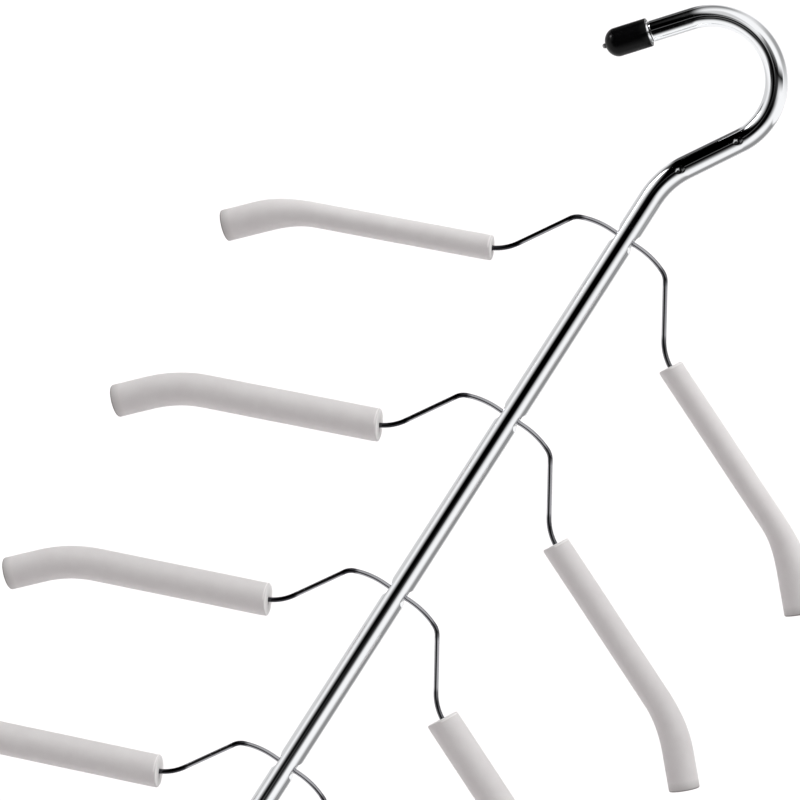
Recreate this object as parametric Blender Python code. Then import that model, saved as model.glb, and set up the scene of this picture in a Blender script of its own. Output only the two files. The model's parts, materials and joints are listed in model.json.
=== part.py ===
"""Tiered hanger: a hooked, chrome-plated tube that carries five pairs of wire arms, one under another.

The tube is a straight stem whose top is bent into an open rail hook. At each tier both sides of the tube
are pressed in and drilled through, and one wire passes through the two holes. The wire bows over the
stem, turns down on each side and runs out as the hanger's shoulders, each inside a foam sleeve. The wire
is free in its holes, so each tier swings to the front and the back. Both ends of the tube wear a black
vinyl cap.

Frame: metres, +Z up, X across the shoulders, the front towards -Y. The origin is the point inside the
hook's crown that rests on a rail.
"""

import math

import bmesh
import bpy
from mathutils import Vector

# Tube, from the floor end up: stem, first bend, leaning run, hook bend, hook tip
TUBE_OD = 0.0146
TUBE_WALL = 0.0010
TAIL_LENGTH = 0.030            # stem below the lowest tier
NECK_LENGTH = 0.0285           # stem above the highest tier
NECK_BEND_RADIUS = 0.0525
NECK_BEND_ANGLE = 31.0
LEAN_LENGTH = 0.036
HOOK_BEND_RADIUS = 0.0388
HOOK_BEND_ANGLE = 171.0
HOOK_TIP_LENGTH = 0.0465
HOOK_TIP_OD = 0.0130           # the tube is drawn down to this through the hook's bends

# Tiers on the stem
TIER_COUNT = 5
TIER_PITCH = 0.128
PRESS_DEPTH = 0.0018           # how far each side of the tube is pressed in at a tier
PRESS_LENGTH = 0.0140
PRESS_FLAT = 0.0050            # the flat at the bottom of the press, round the hole
HOLE_CLEARANCE = 0.00035

# Arm wire as a bend schedule, from the stem's centre outwards
WIRE_DIAMETER = 0.0030
CROWN_FLAT = 0.0097            # straight through the stem
CROWN_BEND_RADIUS = 0.051
CROWN_BEND_ANGLE = 22.0
CROWN_RUN = 0.0003
ELBOW_RADIUS = 0.011
ELBOW_ANGLE = 36.4
DROP_LENGTH = 0.0345           # the steep run beside the stem
ROOT_RADIUS = 0.032
ROOT_ANGLE = 35.4
SHOULDER_LENGTH = 0.1065
TIP_BEND_RADIUS = 0.085
TIP_BEND_ANGLE = 24.0
TIP_LENGTH = 0.0225            # sleeve past the tip bend

# Foam sleeves, each stretched more or less thin along the shoulder and full again past the tip bend
SLEEVE_OD = 0.0202
TOP_SLEEVE_OD = 0.0152         # along the shoulders of the highest tier
TOP_SLEEVE_END_OD = 0.0194
SLIM_SLEEVE_OD = 0.0168        # along the right shoulder under it
SLIM_SLEEVE_END_OD = 0.0188
SLEEVE_CLEARANCE = 0.00035
ROOT_COVERED = 0.0033          # how far the sleeve reaches back over the root bend
WIRE_INSET = 0.0050            # the sleeve overhangs the wire's end by this

# Vinyl caps
CAP_WALL = 0.0019
CAP_CLEARANCE = 0.0003
CAP_GRIP = 0.0195              # how much of the tube a cap covers
CAP_DOME = 0.0076
CAP_NUB_RADIUS = 0.0016        # the stub left by dip moulding
CAP_NUB_HEIGHT = 0.0018

# Facets
TUBE_SIDES = 20
WIRE_SIDES = 8
SLEEVE_SIDES = 16
HOLE_SIDES = 16
LATHE_STEPS = 20
DOME_STEPS = 5
TUBE_STEP_ANGLE = 9.0
WIRE_STEP_ANGLE = 9.0
SHARP_ANGLE = 40.0

CHROME = ("chrome_plate", (0.80, 0.80, 0.82), 1.0, 0.08)
VINYL = ("black_vinyl", (0.012, 0.012, 0.013), 0.0, 0.28)
FOAM = ("grey_foam", (0.62, 0.60, 0.59), 0.0, 0.92)


class BentPath:
    """A flat bend schedule in the XZ plane: straight runs and arcs laid end to end.

    A heading is an angle in degrees from +X towards +Z, and a positive bend turns to the left.
    """

    def __init__(self, start, heading):
        self.end = Vector(start)
        self.heading = heading
        self.length = 0.0
        self.pieces = []

    def straight(self, length):
        """Adds a straight run."""
        self.pieces.append((self.length, self.end.copy(), self.heading, length, 0.0))
        self._advance(length)

    def bend(self, radius, angle):
        """Adds an arc of the given centreline radius that turns by angle degrees."""
        length = radius * math.radians(abs(angle))
        self.pieces.append((self.length, self.end.copy(), self.heading, length, angle))
        self._advance(length)

    def _advance(self, length):
        self.end, self.heading = self.at(self.length + length)
        self.length += length

    def at(self, station):
        """Returns the point and the heading at a distance along the path."""
        first, start, heading, length, angle = self.pieces[0]
        for piece in self.pieces:
            if station >= piece[0]:
                first, start, heading, length, angle = piece
        along = station - first
        way = math.radians(heading)
        if angle == 0.0:
            return start + along * Vector((math.cos(way), math.sin(way))), heading
        turned = math.radians(angle) * along / length
        radius = length / math.radians(angle)
        step = Vector((math.sin(way + turned) - math.sin(way), math.cos(way) - math.cos(way + turned)))
        return start + radius * step, heading + math.degrees(turned)

    def stations(self, first, last, step_angle):
        """Returns the distances that a swept tube needs between two stations."""
        marks = {first, last}
        for begin, _, _, length, angle in self.pieces:
            count = max(1, math.ceil(abs(angle) / step_angle))
            marks.update(begin + length * i / count for i in range(count + 1))
        inside = sorted(mark for mark in marks if first < mark < last)
        return [first] + [mark for mark in inside if mark - first > 1e-5 and last - mark > 1e-5] + [last]


def remove_objects():
    """Empties the scene."""
    for item in list(bpy.data.objects):
        bpy.data.objects.remove(item)


def make_material(name, colour, metallic, roughness):
    """Returns a Principled BSDF material."""
    material = bpy.data.materials.new(name)
    material.use_nodes = True
    shader = material.node_tree.nodes["Principled BSDF"]
    shader.inputs["Base Color"].default_value = (*colour, 1.0)
    shader.inputs["Metallic"].default_value = metallic
    shader.inputs["Roughness"].default_value = roughness
    return material


def finish_mesh(bm, name, material):
    """Turns a bmesh into a smooth-shaded mesh with one material."""
    bmesh.ops.recalc_face_normals(bm, faces=bm.faces)
    mesh = bpy.data.meshes.new(name)
    bm.to_mesh(mesh)
    bm.free()
    mesh.shade_smooth()
    mesh.set_sharp_from_angle(angle=math.radians(SHARP_ANGLE))
    mesh.materials.append(material)
    return mesh


def add_object(name, mesh, parent=None):
    """Links an object for a mesh, or an empty where there is none."""
    item = bpy.data.objects.new(name, mesh)
    bpy.context.collection.objects.link(item)
    item.parent = parent
    return item


def circle_section(radius, sides):
    """Returns a round section as (across, depth) pairs: across lies in the path's plane."""
    turns = [2 * math.pi * i / sides for i in range(sides)]
    return [(radius * math.cos(turn), radius * math.sin(turn)) for turn in turns]


def place_section(path, station, section):
    """Stands a section square across a path."""
    centre, heading = path.at(station)
    way = math.radians(heading)
    across = Vector((-math.sin(way), math.cos(way)))
    ring = []
    for side, depth in section:
        point = centre + side * across
        ring.append(Vector((point.x, depth, point.y)))
    return ring


def sweep_rings(bm, rings, closed):
    """Extrudes a ring of points to each next one, then back onto itself where closed, else caps both ends."""
    start = [bm.verts.new(point) for point in rings[0]]
    edges = [bm.edges.new((start[i - 1], start[i])) for i in range(len(start))]
    verts = start
    goals = rings[1:] + rings[:1] if closed else rings[1:]
    for ring in goals:
        grown = bmesh.ops.extrude_edge_only(bm, edges=edges)["geom"]
        fresh = {item for item in grown if isinstance(item, bmesh.types.BMVert)}
        edges = [item for item in grown if isinstance(item, bmesh.types.BMEdge)]
        neighbours = [[edge.other_vert(vert) for edge in vert.link_edges] for vert in verts]
        verts = [next(vert for vert in near if vert in fresh) for near in neighbours]
        for vert, point in zip(verts, ring):
            vert.co = point
    if closed:
        bmesh.ops.weld_verts(bm, targetmap=dict(zip(verts, start)))
    else:
        bm.faces.new(start)
        bm.faces.new(verts)


def hook_path():
    """Returns the tube's centreline, with the highest tier's hole at (0, 0)."""
    stem = TAIL_LENGTH + (TIER_COUNT - 1) * TIER_PITCH + NECK_LENGTH
    path = BentPath((0.0, NECK_LENGTH - stem), 90.0)
    path.straight(stem)
    path.bend(NECK_BEND_RADIUS, -NECK_BEND_ANGLE)
    path.straight(LEAN_LENGTH)
    path.bend(HOOK_BEND_RADIUS, HOOK_BEND_ANGLE)
    path.straight(HOOK_TIP_LENGTH)
    return path


def tube_radius(path, station):
    """Returns the tube's outer radius: full on the stem, then drawn down evenly through the hook."""
    neck_start = path.pieces[1][0]
    tip_start = path.pieces[4][0]
    drawn = min(max((station - neck_start) / (tip_start - neck_start), 0.0), 1.0)
    return (TUBE_OD + (HOOK_TIP_OD - TUBE_OD) * drawn) / 2


def rail_seat(path):
    """Returns the point of the hook's inner side that rests on a rail."""
    begin, _, heading, length, angle = path.pieces[3]
    crown = begin + length * (180.0 - heading) / angle
    point, _ = path.at(crown)
    return point - Vector((0.0, tube_radius(path, crown)))


def arm_path():
    """Returns the right half of a tier's wire, from the stem's centre at (0, 0) out to the sleeve's end."""
    path = BentPath((0.0, 0.0), 0.0)
    path.straight(CROWN_FLAT)
    path.bend(CROWN_BEND_RADIUS, -CROWN_BEND_ANGLE)
    path.straight(CROWN_RUN)
    path.bend(ELBOW_RADIUS, -ELBOW_ANGLE)
    path.straight(DROP_LENGTH)
    path.bend(ROOT_RADIUS, ROOT_ANGLE)
    path.straight(SHOULDER_LENGTH)
    path.bend(TIP_BEND_RADIUS, -TIP_BEND_ANGLE)
    path.straight(TIP_LENGTH)
    return path


def press_depth(distance):
    """Returns how far the tube's side is pressed in at a distance from a tier's hole."""
    slope = (PRESS_LENGTH - PRESS_FLAT) / 2
    rise = min(max((PRESS_LENGTH / 2 - abs(distance)) / slope, 0.0), 1.0)
    return PRESS_DEPTH * rise * rise * (3 - 2 * rise)


def tube_section(radius, limit):
    """Returns a round section whose two sides are pressed flat at the given distance from the centre."""
    section = circle_section(radius, TUBE_SIDES)
    return [(min(max(across, -limit), limit), depth) for across, depth in section]


def make_tube(path, material):
    """Builds the bored tube, pressed in at each tier, and drills its wire holes."""
    holes = [TAIL_LENGTH + i * TIER_PITCH for i in range(TIER_COUNT)]
    slope = (PRESS_LENGTH - PRESS_FLAT) / 2
    marks = set(path.stations(0.0, path.length, TUBE_STEP_ANGLE))
    for hole in holes:
        for part in (0.0, 0.33, 0.67, 1.0):
            reach = PRESS_FLAT / 2 + slope * part
            marks.update((hole - reach, hole + reach))
    outer, inner = [], []
    for mark in sorted(marks):
        radius = tube_radius(path, mark)
        limit = radius - sum(press_depth(mark - hole) for hole in holes)
        outer.append(place_section(path, mark, tube_section(radius, limit)))
        inner.append(place_section(path, mark, tube_section(radius - TUBE_WALL, limit - TUBE_WALL)))
    bm = bmesh.new()
    sweep_rings(bm, outer + inner[::-1], closed=True)
    tube = add_object("hook_tube", finish_mesh(bm, "hook_tube", material))

    drill = bmesh.new()
    hole_radius = WIRE_DIAMETER / 2 + HOLE_CLEARANCE
    for hole in holes:
        centre, _ = path.at(hole)
        section = circle_section(hole_radius, HOLE_SIDES)
        rings = [[Vector((x, depth, centre.y + across)) for across, depth in section]
                 for x in (-TUBE_OD, TUBE_OD)]
        sweep_rings(drill, rings, closed=False)
    cutter = add_object("wire_hole_cutter", finish_mesh(drill, "wire_hole_cutter", material), tube)
    cutter.hide_render = True
    cutter.display_type = "WIRE"
    cut = tube.modifiers.new("wire_holes", "BOOLEAN")
    cut.operation = "DIFFERENCE"
    cut.solver = "EXACT"
    cut.object = cutter
    return tube


def make_cap(name, tube_od, material):
    """Turns a dip-moulded cap whose mouth is at -Z and whose tube ends at z = 0."""
    bore = tube_od / 2 + CAP_CLEARANCE
    outer = bore + CAP_WALL
    quarter = [math.pi / 2 * i / DOME_STEPS for i in range(DOME_STEPS + 1)]
    inner_dome = [(bore * math.cos(turn), CAP_CLEARANCE + (CAP_DOME - CAP_WALL) * math.sin(turn))
                  for turn in quarter]
    outer_dome = [(outer * math.cos(turn), CAP_CLEARANCE + CAP_DOME * math.sin(turn)) for turn in quarter]
    top = CAP_CLEARANCE + CAP_DOME
    nub_foot = top - CAP_NUB_HEIGHT / 4
    nub = [(CAP_NUB_RADIUS, nub_foot), (CAP_NUB_RADIUS, top + CAP_NUB_HEIGHT), (0.0, top + CAP_NUB_HEIGHT)]
    shoulder = [point for point in outer_dome if point[0] > CAP_NUB_RADIUS and point[1] < nub_foot]
    profile = inner_dome[::-1] + [(bore, -CAP_GRIP), (outer, -CAP_GRIP)] + shoulder + nub

    bm = bmesh.new()
    verts = [bm.verts.new((radius, 0.0, height)) for radius, height in profile]
    edges = [bm.edges.new(pair) for pair in zip(verts, verts[1:])]
    bmesh.ops.spin(bm, geom=verts + edges, cent=(0, 0, 0), axis=(0, 0, 1), angle=2 * math.pi,
                   steps=LATHE_STEPS, use_merge=True)
    bmesh.ops.remove_doubles(bm, verts=bm.verts, dist=1e-6)
    return add_object(name, finish_mesh(bm, name, material))


def seat_cap(cap, path, station, outwards):
    """Puts a cap on one end of the tube, facing along the path or back along it."""
    point, heading = path.at(station)
    facing = heading if outwards else heading + 180.0
    cap.location = (point.x, 0.0, point.y)
    cap.rotation_euler = (0.0, math.radians(90.0 - facing), 0.0)


def mirror_ring(ring):
    """Returns a ring reflected to the left side."""
    return [Vector((-point.x, point.y, point.z)) for point in ring]


def make_wire_mesh(path, material):
    """Builds a tier's whole wire, the right half and its reflection in one sweep."""
    last = path.length - WIRE_INSET
    section = circle_section(WIRE_DIAMETER / 2, WIRE_SIDES)
    right = [place_section(path, mark, section) for mark in path.stations(0.0, last, WIRE_STEP_ANGLE)]
    left = [mirror_ring(ring) for ring in right[:0:-1]]
    bm = bmesh.new()
    sweep_rings(bm, left + right, closed=False)
    return finish_mesh(bm, "tier_wire", material)


def sleeve_radius(path, station, shoulder_od, end_od):
    """Returns the foam's outer radius: one size along the shoulder, swelling to another through the tip bend."""
    bend_start, _, _, bend_length, _ = path.pieces[7]
    swell = min(max((station - bend_start) / bend_length, 0.0), 1.0)
    return (shoulder_od + (end_od - shoulder_od) * swell * swell * (3 - 2 * swell)) / 2


def make_sleeve_mesh(name, path, diameters, mirrored, material):
    """Builds a bored foam sleeve along the outer part of an arm."""
    first = path.pieces[6][0] - ROOT_COVERED
    bore = WIRE_DIAMETER / 2 + SLEEVE_CLEARANCE
    marks = path.stations(first, path.length, WIRE_STEP_ANGLE)
    outer = [place_section(path, mark, circle_section(sleeve_radius(path, mark, *diameters), SLEEVE_SIDES))
             for mark in marks]
    inner = [place_section(path, mark, circle_section(bore, SLEEVE_SIDES)) for mark in marks]
    rings = outer + inner[::-1]
    if mirrored:
        rings = [mirror_ring(ring) for ring in rings]
    bm = bmesh.new()
    sweep_rings(bm, rings, closed=True)
    return finish_mesh(bm, name, material)


def sleeve_diameters(tier, side):
    """Returns the foam's outer diameters on one arm, along the shoulder and at the end."""
    if tier == 1:
        return TOP_SLEEVE_OD, TOP_SLEEVE_END_OD
    if tier == 2 and side == "right":
        return SLIM_SLEEVE_OD, SLIM_SLEEVE_END_OD
    return SLEEVE_OD, SLEEVE_OD


def build():
    """Builds the hanger, and moves it so that the rail seat is the origin."""
    remove_objects()
    chrome, vinyl, foam = [make_material(*finish) for finish in (CHROME, VINYL, FOAM)]
    tube_path, wire_path = hook_path(), arm_path()
    seat = rail_seat(tube_path)
    frame = add_object("hanger_frame", None)
    frame.location = (-seat.x, 0.0, -seat.y)

    tube = make_tube(tube_path, chrome)
    tip_cap = make_cap("hook_tip_cap", HOOK_TIP_OD, vinyl)
    seat_cap(tip_cap, tube_path, tube_path.length, outwards=True)
    foot_cap = make_cap("stem_foot_cap", TUBE_OD, vinyl)
    seat_cap(foot_cap, tube_path, 0.0, outwards=False)
    for item in (tube, tip_cap, foot_cap):
        item.parent = frame

    wire_mesh = make_wire_mesh(wire_path, chrome)
    for tier in range(1, TIER_COUNT + 1):
        pivot = add_object(f"tier_{tier}_pivot", None, frame)
        pivot.location = (0.0, 0.0, -(tier - 1) * TIER_PITCH)
        add_object(f"tier_{tier}_wire", wire_mesh, pivot)
        for side in ("left", "right"):
            name = f"tier_{tier}_sleeve_{side}"
            mesh = make_sleeve_mesh(name, wire_path, sleeve_diameters(tier, side), side == "left", foam)
            add_object(name, mesh, pivot)
    bpy.context.view_layer.update()


build()
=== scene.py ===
"""Looks of the tiered hanger: fine meshes and finishes for its chrome, foam and vinyl pieces, and the studio.

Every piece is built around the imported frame, in metres: +Z up along the stem, X across the shoulders and
the front towards -Y, with the rail seat inside the hook's crown at the origin.
"""

import json
import logging
import math
from dataclasses import dataclass, field
from enum import Enum

import bmesh
import bpy
from mathutils import Matrix, Vector, noise


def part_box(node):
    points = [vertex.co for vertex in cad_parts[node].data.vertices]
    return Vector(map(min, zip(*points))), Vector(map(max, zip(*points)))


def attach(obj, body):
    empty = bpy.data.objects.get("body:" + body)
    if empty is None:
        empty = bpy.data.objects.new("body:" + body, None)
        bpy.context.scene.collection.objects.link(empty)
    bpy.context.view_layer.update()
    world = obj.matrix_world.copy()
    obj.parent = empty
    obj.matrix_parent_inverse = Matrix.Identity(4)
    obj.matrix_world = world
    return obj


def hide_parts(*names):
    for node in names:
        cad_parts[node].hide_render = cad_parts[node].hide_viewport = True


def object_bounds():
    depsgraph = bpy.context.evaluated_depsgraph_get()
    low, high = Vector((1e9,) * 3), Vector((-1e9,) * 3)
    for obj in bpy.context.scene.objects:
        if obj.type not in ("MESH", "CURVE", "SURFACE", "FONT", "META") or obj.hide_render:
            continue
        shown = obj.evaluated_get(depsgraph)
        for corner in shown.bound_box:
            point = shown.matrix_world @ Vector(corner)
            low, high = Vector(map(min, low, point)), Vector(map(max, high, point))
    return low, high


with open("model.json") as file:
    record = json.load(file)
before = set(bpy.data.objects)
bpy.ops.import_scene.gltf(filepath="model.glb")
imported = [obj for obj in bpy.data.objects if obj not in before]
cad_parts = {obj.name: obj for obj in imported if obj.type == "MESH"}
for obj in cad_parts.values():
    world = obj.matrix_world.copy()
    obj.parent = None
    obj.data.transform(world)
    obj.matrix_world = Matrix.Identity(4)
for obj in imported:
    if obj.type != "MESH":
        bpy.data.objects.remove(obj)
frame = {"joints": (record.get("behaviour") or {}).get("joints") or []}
CAD_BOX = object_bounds()

STOCK = "stock"                # the attribute that holds where a point lay before the piece was bent
CUT = "cut"                    # the attribute that marks a cut or torn face, from 0 to 1
PAINTED_SHADE = "painted_shade"                  # the attribute that marks painted shade: the wire's dark bends and the foam's outer rims, from 0 to 1
WELD = 2e-5                    # rings closer than this are one
SHARP_ANGLE = 38.0             # an edge that turns by more than this, in degrees, stays sharp
COLOUR_A, COLOUR_B = 6, 7      # a Mix node's colour inputs, which share their names with its other inputs
NUMBER_A, NUMBER_B = 2, 3      # its number inputs
COLOUR_OUT = 2                 # its colour output
WHITE = (1.0, 1.0, 1.0, 1.0)

log = logging.getLogger("tiered_hanger")


class Slot(Enum):
    """The record's material slots."""

    CHROME = "chrome"
    VINYL = "vinyl"
    FOAM = "foam"


class Side(Enum):
    """The two arms of a tier, by the sign of X on each."""

    LEFT = -1
    RIGHT = 1


def linear(code: str) -> tuple[float, float, float, float]:
    """Turns an sRGB hex colour into a linear one.

    Args:
        code: The colour as "#RRGGBB".

    Returns:
        Red, green, blue and alpha.
    """
    levels = [int(code[i:i + 2], 16) / 255 for i in (1, 3, 5)]
    return (*[v / 12.92 if v <= 0.04045 else ((v + 0.055) / 1.055) ** 2.4 for v in levels], 1.0)


def per_metre(millimetres: float) -> float:
    """Returns how many repeats of a size in millimetres fill a metre."""
    return 1000.0 / millimetres


def clamp(value: float) -> float:
    """Returns a value held between 0 and 1."""
    return min(max(value, 0.0), 1.0)


def ease(share: float) -> float:
    """Returns a share from 0 to 1 with a gentle start and end."""
    return share * share * (3 - 2 * share)


def add_node(tree: bpy.types.NodeTree, kind: str, inputs: dict | None = None, **settings) -> bpy.types.Node:
    """Adds a shader node, sets it up and links it.

    Args:
        tree: The node tree that gets the node.
        kind: The node's type, without the ShaderNode in front.
        inputs: For each input's name or number, a value or the output that feeds it.
        settings: The node's own properties.

    Returns:
        The new node.
    """
    node = tree.nodes.new("ShaderNode" + kind)
    for name, value in settings.items():
        setattr(node, name, value)
    for key, value in (inputs or {}).items():
        if isinstance(value, bpy.types.NodeSocket):
            tree.links.new(value, node.inputs[key])
        else:
            node.inputs[key].default_value = value
    return node


def new_material(name: str) -> tuple[bpy.types.Material, bpy.types.NodeTree, bpy.types.Node]:
    """Starts a material.

    Args:
        name: The material's name.

    Returns:
        The material, its node tree and its Principled BSDF.
    """
    material = bpy.data.materials.new(name)
    material.use_nodes = True
    return material, material.node_tree, material.node_tree.nodes["Principled BSDF"]


@dataclass(frozen=True)
class ChromePlate:
    """Bright chromium over drawn steel.

    On the polished tube it mirrors the room nearly white for white. The faint lines that drawing leaves run
    along the piece, so edges of reflections are a little frayed lengthwise, and handling leaves soft patches
    of dull. Wire looks darker than tube in the photo, and darkest at its bends. It is drawn as if its plate
    were only a flash over darker nickel, which is a guess at the cause. At its bends near-black is mixed into
    the colour as painted dark reflection.
    """

    name: str = "bright_chrome_plate"
    colour: str = "#F4F5F7"
    painted_dark: str = "#3E3E42"        # painted dark reflection, shown only where a piece's bends are marked
    polished: float = 0.035
    handled: float = 0.085
    line_width_mm: float = 0.5     # draw lines are nearer 0.1 mm: coarser, so that they show
    line_length_mm: float = 45.0
    line_depth_mm: float = 0.0012
    patch_mm: float = 14.0
    patch_from: float = 0.45       # the levels of the patches' noise between which the shine goes dull
    patch_to: float = 0.75

    def make(self) -> bpy.types.Material:
        """Makes the material, whose patterns follow the straight stock that the piece was bent from.

        Returns:
            The material.
        """
        material, tree, shader = new_material(self.name)
        stock = add_node(tree, "Attribute", attribute_name=STOCK).outputs["Vector"]
        fine, long = per_metre(self.line_width_mm), per_metre(self.line_length_mm)
        stretched = add_node(tree, "Mapping", {"Vector": stock, "Scale": (fine, fine, long)})
        lines = add_node(tree, "TexNoise", {"Vector": stretched.outputs[0], "Scale": 1.0, "Detail": 2.0})
        patches = add_node(tree, "TexNoise", {"Vector": stock, "Scale": per_metre(self.patch_mm),
                                              "Detail": 3.0})
        dull = add_node(tree, "MapRange", {"Value": patches.outputs[0], "From Min": self.patch_from,
                                           "From Max": self.patch_to, "To Min": self.polished,
                                           "To Max": self.handled})
        bump = add_node(tree, "Bump", {"Height": lines.outputs[0], "Distance": self.line_depth_mm / 1000})
        # mixes near-black in where a piece's bends are marked: painted dark reflection
        painted_shade = add_node(tree, "Attribute", attribute_name=PAINTED_SHADE).outputs["Fac"]
        tone = add_node(tree, "Mix", {"Factor": painted_shade, COLOUR_A: linear(self.colour),
                                      COLOUR_B: linear(self.painted_dark)}, data_type="RGBA")
        tree.links.new(tone.outputs[COLOUR_OUT], shader.inputs["Base Color"])
        shader.inputs["Metallic"].default_value = 1.0
        tree.links.new(dull.outputs[0], shader.inputs["Roughness"])
        tree.links.new(bump.outputs[0], shader.inputs["Normal"])
        return material


WIRE_FLASH = ChromePlate("chrome_flash_on_wire", colour="#ACACB0", polished=0.06, handled=0.12)


@dataclass(frozen=True)
class NitrileFoam:
    """Extruded closed-cell nitrile foam, pale grey with a breath of pink.

    The skin is dead matt, with cells just under it that break up the light, and cloudy where the blowing
    was uneven.
    """

    name: str = "closed_cell_nitrile_foam"
    pale: str = "#E2E0DF"
    deep: str = "#D8D4D4"
    fresh_and_lit: str = "#F7F5F4"         # the cut ends: paler where no skin has formed, and set near white as painted light
    painted_rim_shade: str = "#8A8785"        # the outer rims, greyed: painted shade
    roughness: float = 0.92
    cell_mm: float = 0.9           # cells are about 0.2 mm: coarser, so that the grain shows
    cell_stretch: float = 1.6      # how many times longer than wide the cells are
    cell_depth_mm: float = 0.05
    relief: float = 0.6
    cloud_mm: float = 9.0
    fuzz: float = 0.12

    def make(self) -> bpy.types.Material:
        """Makes the material, whose cells are stretched a little along the extrusion.

        Returns:
            The material.
        """
        material, tree, shader = new_material(self.name)
        stock = add_node(tree, "Attribute", attribute_name=STOCK).outputs["Vector"]
        cut = add_node(tree, "Attribute", attribute_name=CUT).outputs["Fac"]
        painted_shade = add_node(tree, "Attribute", attribute_name=PAINTED_SHADE).outputs["Fac"]
        across = per_metre(self.cell_mm)
        along = across / self.cell_stretch
        drawn = add_node(tree, "Mapping", {"Vector": stock, "Scale": (across, across, along)})
        cells = add_node(tree, "TexVoronoi", {"Vector": drawn.outputs[0], "Scale": 1.0}, feature="SMOOTH_F1")
        clouds = add_node(tree, "TexNoise", {"Vector": stock, "Scale": per_metre(self.cloud_mm),
                                             "Detail": 4.0})
        skin = add_node(tree, "Mix", {"Factor": clouds.outputs[0], COLOUR_A: linear(self.deep),
                                      COLOUR_B: linear(self.pale)}, data_type="RGBA")
        # painted shade on the outer rims
        rim_shaded = add_node(tree, "Mix", {"Factor": painted_shade, COLOUR_A: skin.outputs[COLOUR_OUT],
                                      COLOUR_B: linear(self.painted_rim_shade)}, data_type="RGBA")
        # the cut faces: paler foam, and painted light
        tone = add_node(tree, "Mix", {"Factor": cut, COLOUR_A: rim_shaded.outputs[COLOUR_OUT],
                                      COLOUR_B: linear(self.fresh_and_lit)}, data_type="RGBA")
        bump = add_node(tree, "Bump", {"Height": cells.outputs[0], "Distance": self.cell_depth_mm / 1000,
                                       "Strength": self.relief})
        tree.links.new(tone.outputs[COLOUR_OUT], shader.inputs["Base Color"])
        tree.links.new(bump.outputs[0], shader.inputs["Normal"])
        shader.inputs["Roughness"].default_value = self.roughness
        shader.inputs["Sheen Weight"].default_value = self.fuzz
        return material


@dataclass(frozen=True)
class DippedVinyl:
    """Black plastisol, set on a dipped form.

    The film is glossy but never quite even, so its highlight wavers. Where it was pulled off the drip at its
    end, the stub is torn and grey.
    """

    name: str = "dip_moulded_vinyl"
    colour: str = "#070708"
    torn: str = "#C0C0C2"
    roughness: float = 0.20
    ior: float = 1.53
    specular: float = 0.12
    wave_mm: float = 5.0
    wave_depth_mm: float = 0.05

    def make(self) -> bpy.types.Material:
        """Makes the material.

        Returns:
            The material.
        """
        material, tree, shader = new_material(self.name)
        place = add_node(tree, "TexCoord").outputs["Object"]
        waves = add_node(tree, "TexNoise", {"Vector": place, "Scale": per_metre(self.wave_mm), "Detail": 1.0})
        bump = add_node(tree, "Bump", {"Height": waves.outputs[0], "Distance": self.wave_depth_mm / 1000})
        cut = add_node(tree, "Attribute", attribute_name=CUT).outputs["Fac"]
        tone = add_node(tree, "Mix", {"Factor": cut, COLOUR_A: linear(self.colour),
                                      COLOUR_B: linear(self.torn)}, data_type="RGBA")
        tree.links.new(tone.outputs[COLOUR_OUT], shader.inputs["Base Color"])
        tree.links.new(bump.outputs[0], shader.inputs["Normal"])
        shader.inputs["Roughness"].default_value = self.roughness
        shader.inputs["IOR"].default_value = self.ior
        shader.inputs["Specular IOR Level"].default_value = self.specular
        return material


@dataclass(frozen=True)
class Finishes:
    """The hanger's materials, made once and shared."""

    chrome: bpy.types.Material
    wire: bpy.types.Material
    foam: bpy.types.Material
    vinyl: bpy.types.Material


@dataclass
class Run:
    """One stretch of a bend schedule, straight where its angle is zero.

    Angles are in degrees, and a positive one turns to the left.
    """

    station: float
    start: Vector
    heading: float
    length: float
    angle: float

    def at(self, along: float) -> tuple[Vector, float]:
        """Finds a place on the run.

        Args:
            along: The distance from the run's start.

        Returns:
            The point in the XZ plane and the heading there.
        """
        way = math.radians(self.heading)
        if self.angle == 0.0:
            return self.start + along * Vector((math.cos(way), math.sin(way))), self.heading
        turned = math.radians(self.angle) * along / self.length
        radius = self.length / math.radians(self.angle)
        step = Vector((math.sin(way + turned) - math.sin(way), math.cos(way) - math.cos(way + turned)))
        return self.start + radius * step, self.heading + math.degrees(turned)


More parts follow.
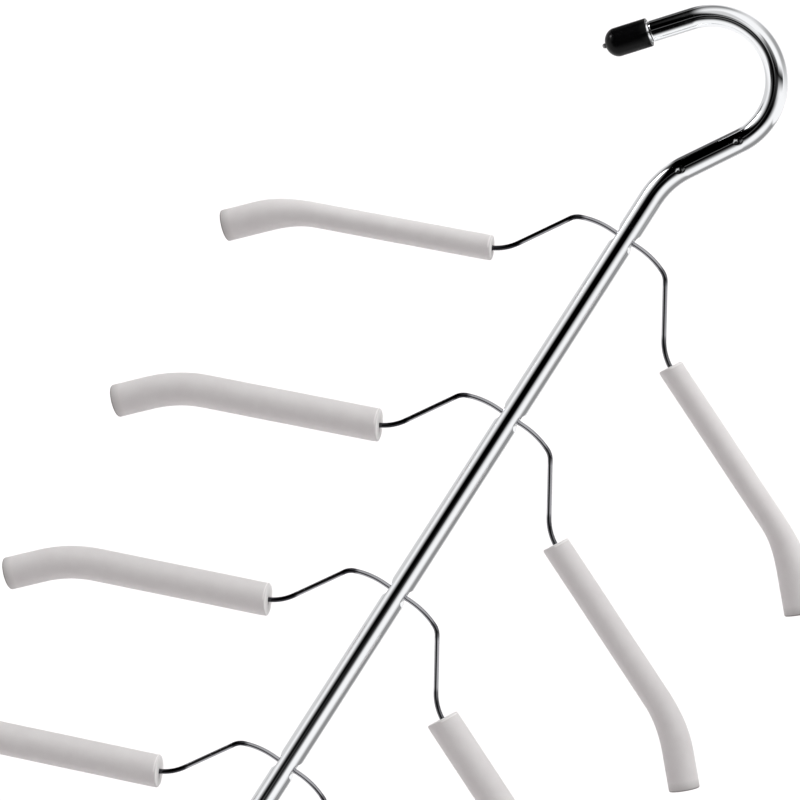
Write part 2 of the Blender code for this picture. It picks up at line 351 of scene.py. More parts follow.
@dataclass
class BendPath:
    """A centreline in the XZ plane, of straight runs and arcs laid end to end."""

    end: Vector
    heading: float
    length: float = 0.0
    runs: list[Run] = field(default_factory=list)

    def straight(self, length: float) -> "BendPath":
        """Adds a straight run, and returns the path."""
        return self._add(length, 0.0)

    def bend(self, radius: float, angle: float) -> "BendPath":
        """Adds an arc of a centreline radius that turns by an angle in degrees, and returns the path."""
        return self._add(radius * math.radians(abs(angle)), angle)

    def _add(self, length: float, angle: float) -> "BendPath":
        """Adds a run of either kind.

        Args:
            length: The run's length.
            angle: How far it turns, in degrees.

        Returns:
            The path.
        """
        run = Run(self.length, self.end.copy(), self.heading, length, angle)
        self.runs.append(run)
        self.end, self.heading = run.at(length)
        self.length += length
        return self

    def at(self, station: float) -> tuple[Vector, float]:
        """Finds a place on the path.

        Args:
            station: The distance from the path's start.

        Returns:
            The point in the XZ plane and the heading there.
        """
        run = max((r for r in self.runs if r.station <= station + WELD), key=lambda r: r.station)
        return run.at(station - run.station)

    def section(self, station: float, radius: float) -> Matrix:
        """Stands a unit circle square across the path.

        Args:
            station: The distance from the path's start.
            radius: The circle's radius there.

        Returns:
            The matrix that takes the circle there, its X in the path's plane and its Y towards the back.
        """
        centre, heading = self.at(station)
        way = math.radians(heading)
        turn = Matrix(((-math.sin(way), 0.0, math.cos(way)),
                       (0.0, 1.0, 0.0),
                       (math.cos(way), 0.0, math.sin(way))))
        place = Matrix.Translation((centre.x, 0.0, centre.y))
        return place @ turn.to_4x4() @ Matrix.Diagonal((radius, radius, 1.0, 1.0))

    def stations(self, first: float, last: float, step_angle: float) -> list[float]:
        """Lists where a swept tube needs a ring.

        Args:
            first: The first ring's station.
            last: The last ring's station.
            step_angle: The most that the path may turn between two rings, in degrees.

        Returns:
            The stations in order.
        """
        marks = {first, last}
        for run in self.runs:
            count = max(1, math.ceil(abs(run.angle) / step_angle))
            marks.update(run.station + run.length * i / count for i in range(count + 1))
        inside = sorted(mark for mark in marks if first < mark < last)
        return [first] + [mark for mark in inside if mark - first > WELD and last - mark > WELD] + [last]


def sweep(path: BendPath, outline: list[tuple[float, float]], sides: int,
          cut: float = 0.0) -> bmesh.types.BMesh:
    """Carries a circle along a path and changes its radius on the way.

    Each point also keeps where it lay on the straight stock, for the materials.

    Args:
        path: The centreline.
        outline: Station and radius at each ring. It may turn back along the path to form a bore, and an
            outline that ends where it starts closes on itself.
        sides: How many sides the circle has.
        cut: How far along its stock the piece was cut.

    Returns:
        The swept shell, with its faces outward where it is closed.
    """
    bm = bmesh.new()
    stock = bm.verts.layers.float_vector.new(STOCK)
    bmesh.ops.create_circle(bm, segments=sides, radius=1.0)
    ring, moved, before = list(bm.edges), list(bm.verts), Matrix()
    for number, (station, radius) in enumerate(outline):
        if number:
            grown = bmesh.ops.extrude_edge_only(bm, edges=ring)["geom"]
            ring = [item for item in grown if isinstance(item, bmesh.types.BMEdge)]
            moved = [item for item in grown if isinstance(item, bmesh.types.BMVert)]
        for vert in moved:
            around = before.inverted() @ vert.co * radius
            vert[stock] = (around.x, around.y, cut + station)
        after = path.section(station, radius)
        bmesh.ops.transform(bm, matrix=after @ before.inverted(), verts=moved)
        before = after
    bmesh.ops.remove_doubles(bm, verts=bm.verts, dist=WELD)
    bmesh.ops.recalc_face_normals(bm, faces=bm.faces)
    return bm


def finish_mesh(bm: bmesh.types.BMesh, name: str) -> bpy.types.Mesh:
    """Turns a bmesh into a smooth-shaded mesh with its true edges kept.

    Args:
        bm: The shape, which is used up.
        name: The mesh's name.

    Returns:
        The mesh.
    """
    mesh = bpy.data.meshes.new(name)
    bm.to_mesh(mesh)
    bm.free()
    mesh.shade_smooth()
    mesh.set_sharp_from_angle(angle=math.radians(SHARP_ANGLE))
    return mesh


def add_object(name: str, mesh: bpy.types.Mesh) -> bpy.types.Object:
    """Links an object for a mesh, at the origin.

    Args:
        name: The object's name.
        mesh: Its mesh.

    Returns:
        The object.
    """
    item = bpy.data.objects.new(name, mesh)
    bpy.context.scene.collection.objects.link(item)
    return item


def dress(item: bpy.types.Object, material: bpy.types.Material, body: str, node: str) -> None:
    """Gives a finished piece its material and its place in the frame, and reports it.

    Args:
        item: The piece.
        material: Its material.
        body: The body that it rides on.
        node: The CAD node that it stands for.
    """
    item.data.materials.clear()
    item.data.materials.append(material)
    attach(item, body)
    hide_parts(node)
    log.info("%s on %s: %d faces", item.name, body, len(item.data.polygons))


NECK, LEAN, HOOK, TIP = 1, 2, 3, 4                # the tube's runs, after its straight stem


@dataclass
class HookTube:
    """The one chrome tube: a straight stem, pressed flat and drilled at each tier, bent to a hook at its top.

    Attributes:
        pivots: Each tier's hole, from the top one down.
    """

    pivots: list[Vector]
    wall: float = 0.0010
    tail_length: float = 0.030
    neck_length: float = 0.0285
    neck_radius: float = 0.0525
    neck_angle: float = 31.0
    lean_length: float = 0.036
    hook_radius: float = 0.0388
    hook_angle: float = 171.0
    tip_length: float = 0.0465
    tip_diameter: float = 0.0130
    swage_place: float = 0.0205    # a shallow ring just outside the tip cap, from the tube's end
    swage_length: float = 0.0022
    swage_depth: float = 0.00035
    clamp_reach: float = 0.0032    # dents at both ends of the leaning run, such as a bender's jaw leaves
    clamp_offset: float = 0.0025   # how far before that run the lower one lies
    clamp_depth: float = 0.0003
    mark_step: float = 0.0003
    press_depth: float = 0.0018
    press_length: float = 0.0140
    press_flat: float = 0.0050
    press_round: float = 0.0007    # how softly the pressed flat runs out into the round
    hole_diameter: float = 0.0037
    hole_sides: int = 48
    chamfer: float = 0.00025
    sides: int = 96
    step_angle: float = 2.0
    press_step: float = 0.0005
    path: BendPath = field(init=False)
    diameter: float = field(init=False)

    def __post_init__(self) -> None:
        """Lays out the centreline from the lowest tier up."""
        low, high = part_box("hook_tube")
        self.diameter = high.y - low.y
        top, bottom = self.pivots[0], self.pivots[-1]
        self.path = BendPath(Vector((bottom.x, bottom.z - self.tail_length)), 90.0)
        self.path.straight(self.tail_length + top.z - bottom.z + self.neck_length)
        self.path.bend(self.neck_radius, -self.neck_angle).straight(self.lean_length)
        self.path.bend(self.hook_radius, self.hook_angle).straight(self.tip_length)

    def radius(self, station: float) -> float:
        """Works out the outer radius: full on the stem, then drawn down evenly through the hook.

        Args:
            station: The distance from the tube's lower end.

        Returns:
            The radius there.
        """
        neck, tip = self.path.runs[NECK].station, self.path.runs[TIP].station
        drawn = clamp((station - neck) / (tip - neck))
        off = (self.path.length - self.swage_place - station) / (self.swage_length / 2)
        swage = self.swage_depth * (1 + math.cos(math.pi * min(abs(off), 1.0))) / 2
        return (self.diameter + (self.tip_diameter - self.diameter) * drawn) / 2 - swage

    def clamp_marks(self) -> list[float]:
        """Returns the stations of the two dents."""
        return [self.path.runs[LEAN].station - self.clamp_offset, self.path.runs[HOOK].station]

    def outline(self) -> list[tuple[float, float]]:
        """Lists the rings of the sweep, up the outside and back down the bore.

        Returns:
            Station and radius at each ring.
        """
        marks = set(self.path.stations(0.0, self.path.length, self.step_angle))
        holes = [pivot.z - self.path.runs[0].start.y for pivot in self.pivots]
        swage = self.path.length - self.swage_place
        finely = [(hole, self.press_length / 2, self.press_step) for hole in holes]
        finely += [(mark, self.clamp_reach, self.mark_step) for mark in self.clamp_marks()]
        finely.append((swage, self.swage_length / 2, self.mark_step))
        for middle, reach, step in finely:
            count = math.ceil(reach / step) + 1
            marks = {mark for mark in marks if abs(mark - middle) > count * step + WELD}
            marks.update(middle + i * step for i in range(-count, count + 1))
        rings = sorted(marks)
        outer = [(mark, self.radius(mark)) for mark in rings]
        bore = [(mark, self.radius(mark) - self.wall) for mark in reversed(rings)]
        return outer + bore + outer[:1]

    def dent(self, bm: bmesh.types.BMesh) -> None:
        """Dents the front of the tube at both ends of the leaning run.

        Args:
            bm: The tube.
        """
        for mark in self.clamp_marks():
            middle, _ = self.path.at(mark)
            spot = Vector((middle.x, -self.radius(mark), middle.y))
            for vert in bm.verts:
                near = (vert.co - spot).length / self.clamp_reach
                if near < 1.0:
                    vert.co.y += self.clamp_depth * (1 - near * near) ** 2

    def press(self, bm: bmesh.types.BMesh) -> None:
        """Presses both sides of the stem flat round each tier's holes.

        Args:
            bm: The straight-sided tube.
        """
        slope = (self.press_length - self.press_flat) / 2
        axis = self.pivots[0].x
        for vert in bm.verts:
            near = min(abs(vert.co.z - pivot.z) for pivot in self.pivots)
            rise = clamp((self.press_length / 2 - near) / slope)
            if rise == 0.0 or vert.co.z > self.pivots[0].z + self.neck_length:
                continue
            from_axis = math.hypot(vert.co.x - axis, vert.co.y)
            outside = from_axis > (self.diameter - self.wall) / 2
            skin = self.diameter / 2 if outside else self.diameter / 2 - self.wall
            limit = skin - self.press_depth * ease(rise)
            across = abs(vert.co.x - axis)
            share = clamp(0.5 + (limit - across) / (2 * self.press_round))
            pressed = limit + (across - limit) * share - self.press_round * share * (1 - share) * rise
            vert.co.x = axis + math.copysign(min(across, pressed), vert.co.x - axis)

    def drill(self, tube: bpy.types.Object) -> None:
        """Drills each tier's hole through both pressed sides, and breaks its edges.

        Args:
            tube: The pressed tube.
        """
        bit = bmesh.new()
        flat = self.diameter / 2 - self.press_depth
        radius = self.hole_diameter / 2
        for pivot in self.pivots:
            across = Matrix.Translation(pivot) @ Matrix.Rotation(math.pi / 2, 4, "Y")
            bmesh.ops.create_cone(bit, cap_ends=True, segments=self.hole_sides, radius1=radius,
                                  radius2=radius, depth=2 * self.diameter, matrix=across)
        drill_bit = add_object("drill_bit", finish_mesh(bit, "drill_bit"))
        countersinks = bmesh.new()          # 45-degree cones, one chamfer wider than the hole at the flat
        for pivot in self.pivots:
            for side in Side:
                seat = Matrix.Translation(pivot + Vector((side.value * flat, 0.0, 0.0)))
                facing = Matrix.Rotation(side.value * math.pi / 2, 4, "Y")
                bmesh.ops.create_cone(countersinks, cap_ends=True, segments=self.hole_sides,
                                      radius1=radius - self.chamfer, radius2=radius + 3 * self.chamfer,
                                      depth=4 * self.chamfer, matrix=seat @ facing)
        sinks = add_object("countersinks", finish_mesh(countersinks, "countersinks"))
        for cutter in (drill_bit, sinks):
            cut = tube.modifiers.new("hole", "BOOLEAN")
            cut.operation, cut.solver, cut.object = "DIFFERENCE", "EXACT", cutter
        drilled = bpy.data.meshes.new_from_object(tube.evaluated_get(bpy.context.evaluated_depsgraph_get()))
        tube.modifiers.clear()
        tube.data = drilled
        for cutter in (drill_bit, sinks):
            bpy.data.objects.remove(cutter)
        start = self.path.runs[0].start
        for vertex, place in zip(drilled.vertices, drilled.attributes[STOCK].data):
            if vertex.co.z < self.pivots[0].z + self.neck_length:
                place.vector = (start.x - vertex.co.x, vertex.co.y, vertex.co.z - start.y)

    def build(self, finishes: Finishes) -> bpy.types.Object:
        """Builds and dresses the tube.

        Args:
            finishes: The hanger's materials.

        Returns:
            The tube.
        """
        bm = sweep(self.path, self.outline(), self.sides)
        self.press(bm)
        self.dent(bm)
        tube = add_object("hooked_tube", finish_mesh(bm, "hooked_tube"))
        self.drill(tube)
        dress(tube, finishes.chrome, "stem", "hook_tube")
        return tube


@dataclass
class VinylCap:
    """A dip-moulded cap, stretched over one end of the tube.

    Attributes:
        name: The piece's name.
        node: The CAD node that it stands for.
        tube_diameter: The tube that it grips.
        seat: Where the tube ends, in the XZ plane.
        facing: The way that the dome points, in degrees.
        nub_profile: The torn stub's points up its side, as shares of its radius and height.
    """

    name: str
    node: str
    tube_diameter: float
    seat: Vector
    facing: float
    wall: float = 0.0019
    clearance: float = 0.0003
    grip: float = 0.0195
    dome: float = 0.0076
    nub_radius: float = 0.0016
    nub_height: float = 0.0018
    nub_foot: float = 1.5          # how many nub radii from the middle the dome ends and the nub flares up
    nub_profile: tuple[tuple[float, float], ...] = ((1.0, -0.1), (0.85, 0.8), (0.5, 1.0), (0.0, 1.0))
    lip_round: float = 0.0005
    steps: int = 72
    dome_steps: int = 16
    barrel_steps: int = 4

    def profile(self) -> list[Vector]:
        """Lists the turned outline, from the top of the inner dome round the mouth to the tip of the nub.

        Returns:
            Its points in the XZ plane, with Z along the cap's axis.
        """
        bore = self.tube_diameter / 2 + self.clearance
        outer = bore + self.wall
        top = self.clearance + self.dome
        inside = self.dome - self.wall
        quarter = [math.pi / 2 * i / self.dome_steps for i in range(self.dome_steps + 1)]
        inner_dome = [Vector((bore * math.cos(turn), 0.0, self.clearance + inside * math.sin(turn)))
                      for turn in reversed(quarter)]
        mouth = [Vector((bore, 0.0, -self.grip)), Vector((outer, 0.0, -self.grip))]
        barrel = [Vector((outer, 0.0, -self.grip * (i / self.barrel_steps)))
                  for i in range(self.barrel_steps - 1, 0, -1)]
        outer_dome = [Vector((outer * math.cos(turn), 0.0, self.clearance + self.dome * math.sin(turn)))
                      for turn in quarter]
        shoulder = [point for point in outer_dome if point.x > self.nub_foot * self.nub_radius]
        stub = [Vector((out * self.nub_radius, 0.0, top + up * self.nub_height))
                for out, up in self.nub_profile]
        return inner_dome + mouth + barrel + shoulder + stub

    def build(self, finishes: Finishes) -> bpy.types.Object:
        """Builds and dresses the cap.

        Args:
            finishes: The hanger's materials.

        Returns:
            The cap.
        """
        bm = bmesh.new()
        verts = [bm.verts.new(point) for point in self.profile()]
        edges = [bm.edges.new(pair) for pair in zip(verts, verts[1:])]
        bmesh.ops.spin(bm, geom=verts + edges, cent=(0, 0, 0), axis=(0, 0, 1), angle=2 * math.pi,
                       steps=self.steps, use_merge=True)
        bmesh.ops.remove_doubles(bm, verts=bm.verts, dist=WELD)
        bmesh.ops.recalc_face_normals(bm, faces=bm.faces)
        low = min(vert.co.z for vert in bm.verts)
        lip = [edge for edge in bm.edges if all(abs(vert.co.z - low) < WELD for vert in edge.verts)
               and len({round(math.hypot(vert.co.x, vert.co.y), 5) for vert in edge.verts}) == 1]
        bmesh.ops.bevel(bm, geom=lip, offset=self.lip_round, segments=3, profile=0.5, affect="EDGES",
                        material=-1)
        torn = bm.verts.layers.float.new(CUT)
        for vert in bm.verts:
            vert[torn] = float(vert.co.z > self.clearance + self.dome)
        tilt = Matrix.Rotation(math.radians(90.0 - self.facing), 4, "Y")
        place = Matrix.Translation((self.seat.x, 0.0, self.seat.y))
        bmesh.ops.transform(bm, matrix=place @ tilt, verts=bm.verts)
        cap = add_object(self.name, finish_mesh(bm, self.name))
        dress(cap, finishes.vinyl, "stem", self.node)
        return cap


ELBOW, ROOT, SHOULDER, TIP_BEND = 3, 5, 6, 7      # the runs of an arm that are named below


@dataclass
class ArmBends:
    """The bend schedule of one arm, from the stem's centre out to the end of the foam."""

    wire_diameter: float = 0.0030
    crown_flat: float = 0.0097
    crown_radius: float = 0.051
    crown_angle: float = 22.0
    crown_run: float = 0.0003
    elbow_radius: float = 0.011
    elbow_angle: float = 36.4
    drop_length: float = 0.0345
    root_radius: float = 0.032
    root_angle: float = 35.4
    shoulder_length: float = 0.1065
    tip_radius: float = 0.085
    tip_angle: float = 24.0
    tip_length: float = 0.0225
    root_covered: float = 0.0033   # how far the foam reaches back over the root bend
    wire_inset: float = 0.0050

    def path(self, pivot: Vector) -> BendPath:
        """Lays out the right arm's centreline.

        Args:
            pivot: The tier's hole.

        Returns:
            The centreline, from the stem's centre out.
        """
        path = BendPath(Vector((pivot.x, pivot.z)), 0.0)
        path.straight(self.crown_flat).bend(self.crown_radius, -self.crown_angle).straight(self.crown_run)
        path.bend(self.elbow_radius, -self.elbow_angle).straight(self.drop_length)
        path.bend(self.root_radius, self.root_angle).straight(self.shoulder_length)
        return path.bend(self.tip_radius, -self.tip_angle).straight(self.tip_length)

    def foam_start(self, path: BendPath) -> float:
        """Returns the station on an arm's path where its sleeve begins."""
        return path.runs[SHOULDER].station - self.root_covered


@dataclass
class ArmWire:
    """A tier's one chrome wire: through the stem, bowed over it and out into both sleeves."""

    number: int
    pivot: Vector
    bends: ArmBends
    sides: int = 28
    step_angle: float = 2.0
    end_round: float = 0.0005
    dark_fade: float = 0.0030     # how far past a bend the painted dark reflection fades out
    right_dark: float = 0.65      # fitted, cause unknown: the right arms' bends look paler in the photo, so less painted dark goes on them

    def paint_dark_bends(self, bm: bmesh.types.BMesh, path: BendPath) -> None:
        """Marks the elbow and the root bend on both sides, where painted dark reflection goes on.

        Args:
            bm: The whole wire.
            path: The centreline of its right half.
        """
        stock = bm.verts.layers.float_vector[STOCK]
        painted_shade = bm.verts.layers.float.new(PAINTED_SHADE)
        for vert in bm.verts:
            share = self.right_dark if vert.co.x > self.pivot.x else 1.0
            for bend in (path.runs[ELBOW], path.runs[ROOT]):
                past = max(bend.station - vert[stock].z, vert[stock].z - bend.station - bend.length, 0.0)
                vert[painted_shade] = max(vert[painted_shade], share * (1.0 - past / self.dark_fade))

    def build(self, finishes: Finishes) -> bpy.types.Object:
        """Builds the right half to a rounded end, reflects it to the left and dresses the whole.

        Args:
            finishes: The hanger's materials.

        Returns:
            The wire.
        """
        path = self.bends.path(self.pivot)
        radius = self.bends.wire_diameter / 2
        last = path.length - self.bends.wire_inset
        marks = set(path.stations(0.0, last - self.end_round, self.step_angle))
        for bend in (path.runs[ELBOW], path.runs[ROOT]):
            marks.update((bend.station - self.dark_fade, bend.station + bend.length + self.dark_fade))
        outline = [(mark, radius) for mark in sorted(marks)]
        outline.append((last, radius - self.end_round))
        bm = sweep(path, outline, self.sides)
        halfway = (self.pivot.x + max(vert.co.x for vert in bm.verts)) / 2
        rim = [edge for edge in bm.edges if edge.is_boundary and edge.verts[0].co.x > halfway]
        bmesh.ops.edgeloop_fill(bm, edges=rim)
        bmesh.ops.mirror(bm, geom=[*bm.verts, *bm.edges, *bm.faces], matrix=Matrix.Translation(-self.pivot),
                         merge_dist=WELD, axis="X")
        bmesh.ops.recalc_face_normals(bm, faces=bm.faces)
        self.paint_dark_bends(bm, path)
        wire = add_object(f"arm_wire_{self.number}", finish_mesh(bm, "arm_wire"))
        dress(wire, finishes.wire, f"tier_{self.number}", f"tier_{self.number}_wire")
        return wire


@dataclass
class FoamSleeve:
    """A length of foam tube, cut square, stretched and pushed over one end of an arm wire.

    Attributes:
        shoulder: Its outer diameter as stretched along the shoulder, where that is less than at its end.
    """

    number: int
    side: Side
    pivot: Vector
    bends: ArmBends
    shoulder: float | None = None
    clearance: float = 0.00035
    edge_round: float = 0.0011
    sides: int = 48
    step: float = 0.003
    step_angle: float = 2.0
    swell: float = 0.00012         # how far the skin strays from a true round
    swell_size: float = 0.018
    rim_angle: float = 60.0        # an edge that turns by more than this, in degrees, is a cut one
    cut_fall: float = 5.0          # how fast the cut face's mark falls off over its rounded edge
    rim_shade_rise: float = 4.0         # how fast the painted shade on the outer rim sets in over it
    fill: float = 0.9

    @property
    def node(self) -> str:
        """The sleeve's CAD node."""
        return f"tier_{self.number}_sleeve_{self.side.name.lower()}"

    @property
    def bore(self) -> float:
        """The radius of the hole along it."""
        return self.bends.wire_diameter / 2 + self.clearance

    def outline(self, path: BendPath) -> list[tuple[float, float]]:
        """Lists the rings of the sweep, out along the skin and back along the bore.

        Args:
            path: The centreline.

        Returns:
            Station and radius at each ring.
        """
        low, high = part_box(self.node)
        end = high.y - low.y
        shoulder = self.shoulder or end
        first, bend = self.bends.foam_start(path), path.runs[TIP_BEND]
        marks = set(path.stations(first, path.length, self.step_angle))
        count = int((path.length - first) / self.step)
        marks.update(first + self.step * i for i in range(1, count))
        rings = sorted(marks)
        outer = []
        for mark in rings:
            full = ease(clamp((mark - bend.station) / bend.length))
            outer.append((mark, (shoulder + (end - shoulder) * full) / 2))
        inner = [(mark, self.bore) for mark in reversed(rings)]
        return outer + inner + outer[:1]

    def soften(self, bm: bmesh.types.BMesh, path: BendPath) -> None:
        """Rounds the cut edges, marks the cut faces, paints shade on the outer rim, and lets the skin stray
        inwards.

        Args:
            bm: The square-cut sleeve.
            path: Its centreline.
        """
        stock = bm.verts.layers.float_vector[STOCK]
        cut = bm.verts.layers.float.new(CUT)
        painted_shade = bm.verts.layers.float.new(PAINTED_SHADE)
        skin = 2 * self.bore       # what lies further from the axis than this is the skin, not the bore
        rims = [edge for edge in bm.edges if edge.calc_face_angle(0.0) > math.radians(self.rim_angle)
                and all(vert[stock].xy.length > skin for vert in edge.verts)]
        bmesh.ops.bevel(bm, geom=rims, offset=self.edge_round, segments=4, profile=0.5, affect="EDGES",
                        material=-1)
        bm.normal_update()
        start = min(vert[stock].z for vert in bm.verts) - self.bends.foam_start(path)
        for vert in bm.verts:
            way = math.radians(path.at(vert[stock].z - start)[1])
            facing = abs(vert.normal.dot(Vector((math.cos(way), 0.0, math.sin(way)))))
            vert[cut] = clamp(1.0 - self.cut_fall * (1.0 - facing))
            outer_end = vert[stock].z - start > path.length - 2 * self.edge_round
            # painted shade on the outer end's rim and face
            vert[painted_shade] = clamp(self.rim_shade_rise * facing) if outer_end else 0.0
            if vert[stock].xy.length > skin:
                stray = noise.noise(vert[stock] / self.swell_size) * 0.5 - 0.5      # from -1 to 0
                vert.co += vert.normal * stray * self.swell

    def build(self, finishes: Finishes) -> bpy.types.Object:
        """Builds and dresses the sleeve.

        Args:
            finishes: The hanger's materials.

        Returns:
            The sleeve.
        """
        path = self.bends.path(self.pivot)
        length = (2 * self.number + self.side.value) * path.length
        bm = sweep(path, self.outline(path), self.sides, length)
        self.soften(bm, path)
        if self.side is Side.LEFT:
            bmesh.ops.transform(bm, verts=bm.verts, matrix=Matrix.Scale(-1.0, 4, (1.0, 0.0, 0.0)),
                                space=Matrix.Translation(-self.pivot))
            bmesh.ops.recalc_face_normals(bm, faces=bm.faces)
        sleeve = add_object(f"foam_{self.number}_{self.side.name.lower()}", finish_mesh(bm, "foam"))
        dress(sleeve, finishes.foam, f"tier_{self.number}", self.node)
        return sleeve


STRETCHED = {                  # the diameter along the shoulder of each sleeve that is thinner there
    1: {Side.LEFT: 0.0152, Side.RIGHT: 0.0152},
    2: {Side.RIGHT: 0.0168},
}


@dataclass
class Tier:
    """One swinging tier: its wire and the two sleeves on it.

    Attributes:
        stretched: The shoulder diameter of each of its sleeves that is thinner there.
    """

    number: int
    pivot: Vector
    bends: ArmBends
    stretched: dict[Side, float]

    def build(self, finishes: Finishes) -> None:
        """Builds the tier's three pieces.

        Args:
            finishes: The hanger's materials.
        """
        ArmWire(self.number, self.pivot, self.bends).build(finishes)
        for side in Side:
            FoamSleeve(self.number, side, self.pivot, self.bends, self.stretched.get(side)).build(finishes)


def compass(place: tuple[float, float]) -> Vector:
    """Turns a place in the room, as seen from the hanger, into a direction.

    Args:
        place: Its azimuth from the front towards +X and its elevation, in degrees.

    Returns:
        The direction, one unit long.
    """
    azimuth, elevation = map(math.radians, place)
    level = math.cos(elevation)
    return Vector((math.sin(azimuth) * level, -math.cos(azimuth) * level, math.sin(elevation)))


@dataclass(frozen=True)
class Flag:
    """A dark strip of the studio that shows in the chrome, as the camera's own side of the room does.

    Its ends are directions seen from the hanger, as azimuth from the front towards +X and elevation. The
    strip runs straight from one to the other. All sizes are in degrees.
    """

    start: tuple[float, float]
    end: tuple[float, float]
    width: float
    soft: float
    dark: float
    soft_ends: float = 8.0

    def axes(self) -> tuple[Vector, Vector, Vector, float]:
        """Sets out the strip's own directions.

        Returns:
            The directions ahead to its middle, beside it and above it, and its length in degrees.
        """
        ends = [compass(self.start), compass(self.end)]
        above = ends[0].cross(ends[1]).normalized()
        ahead = (ends[0] + ends[1]).normalized()
        return ahead, above.cross(ahead), above, math.degrees(ends[0].angle(ends[1]))

    def shade(self, tree: bpy.types.NodeTree, direction: bpy.types.NodeSocket) -> bpy.types.NodeSocket:
        """Adds the nodes that tell how much of the light the strip lets by.

        Args:
            tree: The world's node tree.
            direction: The output that holds the ray's direction.

        Returns:
            The output that is 1 clear of the strip and 1 - dark on it.
        """
        *axes, length = self.axes()
        ahead, beside, above = [add_node(tree, "VectorMath", {0: direction, 1: axis},
                                         operation="DOT_PRODUCT").outputs["Value"] for axis in axes]
        along = add_node(tree, "Math", {0: beside, 1: ahead}, operation="ARCTAN2").outputs[0]
        across = add_node(tree, "Math", {0: above}, operation="ARCSINE").outputs[0]
        covers = []
        for angle, reach, soft in ((along, length / 2, self.soft_ends), (across, self.width / 2, self.soft)):
            off = add_node(tree, "Math", {0: angle}, operation="ABSOLUTE").outputs[0]
            inner, outer = (math.radians(reach + way * soft / 2) for way in (-1, 1))
            cover = add_node(tree, "MapRange", {"Value": off, "From Min": inner, "From Max": outer,
                                                "To Min": 1.0, "To Max": 0.0},
                             interpolation_type="SMOOTHSTEP")
            covers.append(cover.outputs[0])
        cover = add_node(tree, "Math", {0: covers[0], 1: covers[1]}, operation="MULTIPLY").outputs[0]
        return add_node(tree, "Math", {0: cover, 1: -self.dark, 2: 1.0}, operation="MULTIPLY_ADD").outputs[0]


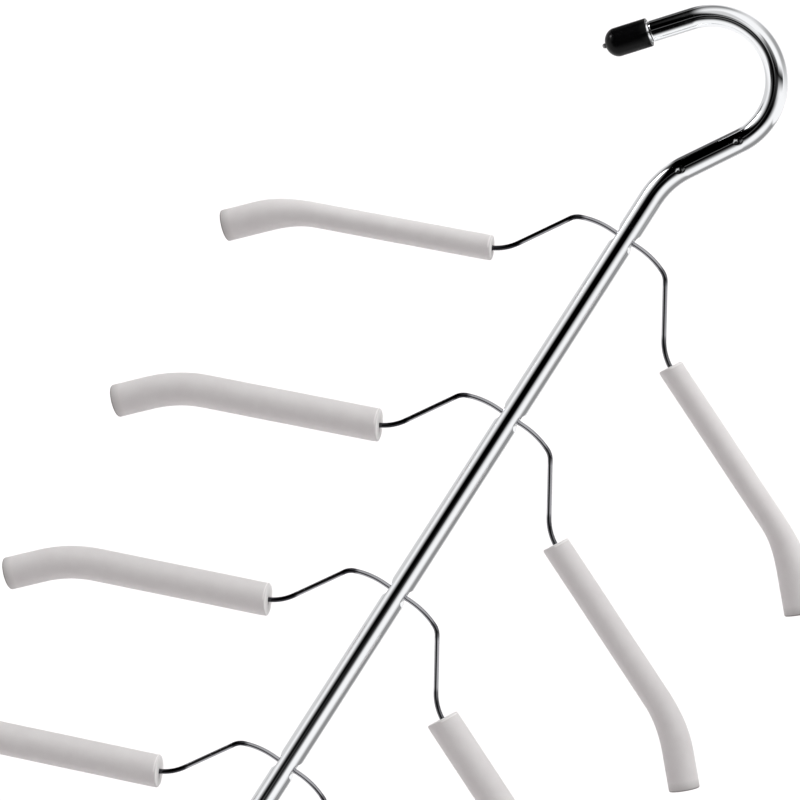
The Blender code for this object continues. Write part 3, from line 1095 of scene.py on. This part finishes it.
@dataclass
class Studio:
    """A white cove under one broad soft light, with a pale wall on the right and the dark room in front.

    The flags, the window and the lamps were fitted by trial to the photo. What each flag stands for is only
    a name for it.
    """

    flags: tuple[Flag, ...] = (
        Flag((-46.0, -14.0), (38.0, 1.0), 20.0, 15.0, 1.0, 47.0),         # the room behind the camera
        Flag((-12.0, -3.0), (-106.0, 26.0), 25.0, 12.0, 1.0, 5.0),        # its ceiling, up to the left
        Flag((-109.0, 23.0), (-147.0, 14.0), 17.0, 5.0, 0.83, 11.0),
        Flag((-2.0, 3.0), (74.0, 33.0), 12.0, 14.0, 1.0, 5.0),            # a rail up to the right
        Flag((6.0, -13.0), (16.0, 33.0), 23.0, 7.0, 0.83, 13.0),
        Flag((-6.0, -13.0), (6.0, -46.0), 48.0, 26.0, 1.0, 34.0),         # the floor in front
        Flag((-13.0, -17.0), (-48.0, -29.0), 16.0, 18.0, 1.0, 5.0),
        Flag((-4.0, -10.0), (57.0, -41.0), 5.0, 5.0, 1.0, 5.0),
        Flag((81.0, -21.0), (152.0, -19.0), 35.0, 4.0, 0.71, 36.0),       # a grey wall on the right
        Flag((-142.0, -25.0), (-82.0, -1.0), 52.0, 23.0, 0.31, 23.0),
        Flag((-148.0, 55.0), (-77.0, 5.0), 43.0, 39.0, 0.75, 28.0),
        Flag((78.0, 60.0), (166.0, 35.0), 51.0, 40.0, 0.63, 30.0),
        Flag((-43.0, 37.0), (-8.0, 19.0), 18.0, 10.0, 0.34, 20.0),
        Flag((172.0, -8.0), (188.0, -8.0), 18.0, 8.0, 0.9, 10.0),         # the doorway behind the cove
    )
    mirrored_light: float = 1.02
    window: tuple[float, float] = (-74.0, 2.0)     # bright, and placed so that the tip cap mirrors it
    window_reach: float = 7.0      # half its width, in degrees
    window_soft: float = 8.0
    window_light: float = 12.0
    fill: float = 0.022
    fill_swing: float = 0.022      # how much brighter the back is than the front
    lamp_angle: float = 60.0
    key_light: float = 1.10        # what it adds to a white that faces it
    key_tilt: tuple[float, float] = (6.0, -3.0)
    wall_light: float = 0.13       # a pale wall on the right, which lights the cut ends that face it
    wall_tilt: tuple[float, float] = (0.0, 75.0)
    floor_gap: float = 0.003
    floor_size: float = 60.0
    floor_white: str = "#E2DFE0"
    floor_roughness: float = 0.9
    floor_glow: float = 0.24

    def window_glow(self, tree: bpy.types.NodeTree, direction: bpy.types.NodeSocket) -> bpy.types.NodeSocket:
        """Adds the nodes that tell how much brighter than the room the window is.

        Args:
            tree: The world's node tree.
            direction: The output that holds the ray's direction.

        Returns:
            The output that is the window's own light inside it, and 0 outside it.
        """
        near = add_node(tree, "VectorMath", {0: direction, 1: compass(self.window)}, operation="DOT_PRODUCT")
        inner, outer = (math.cos(math.radians(self.window_reach + way * self.window_soft / 2))
                        for way in (-1, 1))
        glow = add_node(tree, "MapRange", {"Value": near.outputs["Value"], "From Min": outer,
                                           "From Max": inner, "To Min": 0.0, "To Max": self.window_light},
                        interpolation_type="SMOOTHSTEP")
        return glow.outputs[0]

    def build_world(self) -> None:
        """Makes the room: white to the eye, soft grey to matt surfaces, white with dark flags in chrome."""
        world = bpy.data.worlds.new("studio")
        bpy.context.scene.world = world
        world.use_nodes = True
        tree = world.node_tree
        tree.nodes.clear()
        direction = add_node(tree, "TexCoord").outputs["Generated"]
        mirrored = add_node(tree, "Value").outputs[0]
        mirrored.default_value = self.mirrored_light
        for flag in self.flags:
            shade = flag.shade(tree, direction)
            mirrored = add_node(tree, "Math", {0: mirrored, 1: shade}, operation="MULTIPLY").outputs[0]
        mirrored = add_node(tree, "Math", {0: mirrored, 1: self.window_glow(tree, direction)}).outputs[0]
        depth = add_node(tree, "SeparateXYZ", {0: direction}).outputs["Y"]
        fill = add_node(tree, "Math", {0: depth, 1: self.fill_swing, 2: self.fill}, operation="MULTIPLY_ADD")
        ray = add_node(tree, "LightPath")
        seen = add_node(tree, "Math", {0: ray.outputs["Is Camera Ray"],
                                       1: ray.outputs["Is Transmission Ray"]}, operation="MAXIMUM")
        lit = add_node(tree, "Mix", {"Factor": ray.outputs["Is Glossy Ray"], NUMBER_A: fill.outputs[0],
                                     NUMBER_B: mirrored})
        level = add_node(tree, "Mix", {"Factor": seen.outputs[0], NUMBER_A: lit.outputs[0], NUMBER_B: 1.0})
        background = add_node(tree, "Background", {"Color": WHITE, "Strength": level.outputs[0]})
        add_node(tree, "OutputWorld", {"Surface": background.outputs[0]}, target="ALL")

    def add_lamp(self, name: str, light: float, tilt: tuple[float, float]) -> None:
        """Adds a broad soft light. The chrome mirrors the room and no lamp.

        Args:
            name: The lamp's name.
            light: What it adds to a white that faces it.
            tilt: How far it is turned from straight down, about X and then Y, in degrees.
        """
        lamp = bpy.data.lights.new(name, "SUN")
        lamp.energy = light * math.pi
        lamp.angle = math.radians(self.lamp_angle)
        item = bpy.data.objects.new(name, lamp)
        item.rotation_euler = [math.radians(angle) for angle in (*tilt, 0.0)]
        item.visible_glossy = False
        bpy.context.scene.collection.objects.link(item)

    def build_floor(self) -> None:
        """Lays a pale floor just under the hanger, which reads white and still takes the shadow."""
        bm = bmesh.new()
        level = CAD_BOX[0].z - self.floor_gap
        bmesh.ops.create_grid(bm, x_segments=1, y_segments=1, size=self.floor_size / 2,
                              matrix=Matrix.Translation((0.0, 0.0, level)))
        floor = add_object("studio_floor", finish_mesh(bm, "studio_floor"))
        material, tree, shader = new_material("painted_cove")
        shader.inputs["Base Color"].default_value = linear(self.floor_white)
        shader.inputs["Roughness"].default_value = self.floor_roughness
        shader.inputs["Emission Color"].default_value = WHITE
        seen = add_node(tree, "LightPath").outputs["Is Camera Ray"]
        glow = add_node(tree, "Math", {0: seen, 1: self.floor_glow}, operation="MULTIPLY")
        tree.links.new(glow.outputs[0], shader.inputs["Emission Strength"])
        floor.data.materials.append(material)
        floor.visible_glossy = False

    def build(self) -> None:
        """Sets up the studio."""
        self.build_world()
        self.add_lamp("overhead_softbox", self.key_light, self.key_tilt)
        self.add_lamp("right_wall", self.wall_light, self.wall_tilt)
        self.build_floor()
        log.info("studio with %d flags", len(self.flags))


@dataclass
class ViewCamera:
    """The camera, a long lens from the front and a little above, rolled so that the hanger leans."""

    location: tuple[float, float, float] = (0.3769, -2.9228, 0.2717)
    azimuth: float = -8.40
    elevation: float = -10.87
    roll: float = 32.47
    lens_mm: float = 225.0
    sensor_mm: float = 36.0

    def build(self) -> None:
        """Makes the camera and looks through it."""
        data = bpy.data.cameras.new("view_camera")
        data.lens, data.sensor_width = self.lens_mm, self.sensor_mm
        camera = bpy.data.objects.new("view_camera", data)
        bpy.context.scene.collection.objects.link(camera)
        turn = Matrix.Rotation(math.radians(-self.azimuth), 3, "Z")
        tilt = Matrix.Rotation(math.radians(90.0 + self.elevation), 3, "X")
        roll = Matrix.Rotation(math.radians(self.roll), 3, "Z")
        camera.matrix_world = Matrix.Translation(self.location) @ (turn @ tilt @ roll).to_4x4()
        bpy.context.scene.camera = camera


def main() -> None:
    """Builds the camera, the studio and every piece of the hanger."""
    logging.basicConfig(level=logging.INFO, format="%(name)s: %(message)s")
    ViewCamera().build()
    Studio().build()
    finishes = Finishes(ChromePlate().make(), WIRE_FLASH.make(), NitrileFoam().make(), DippedVinyl().make())
    pivots = [Vector(joint["pos_m"]) for joint in frame["joints"]]
    tube = HookTube(pivots)
    tube.build(finishes)
    tip, tip_heading = tube.path.at(tube.path.length)
    foot, foot_heading = tube.path.at(0.0)
    VinylCap("tip_cap", "hook_tip_cap", tube.tip_diameter, tip, tip_heading).build(finishes)
    VinylCap("foot_cap", "stem_foot_cap", tube.diameter, foot, foot_heading + 180.0).build(finishes)
    for number, pivot in enumerate(pivots, start=1):
        Tier(number, pivot, ArmBends(), STRETCHED.get(number, {})).build(finishes)
    bpy.context.scene.view_settings.view_transform = "Standard"


if __name__ == "__main__":
    main()
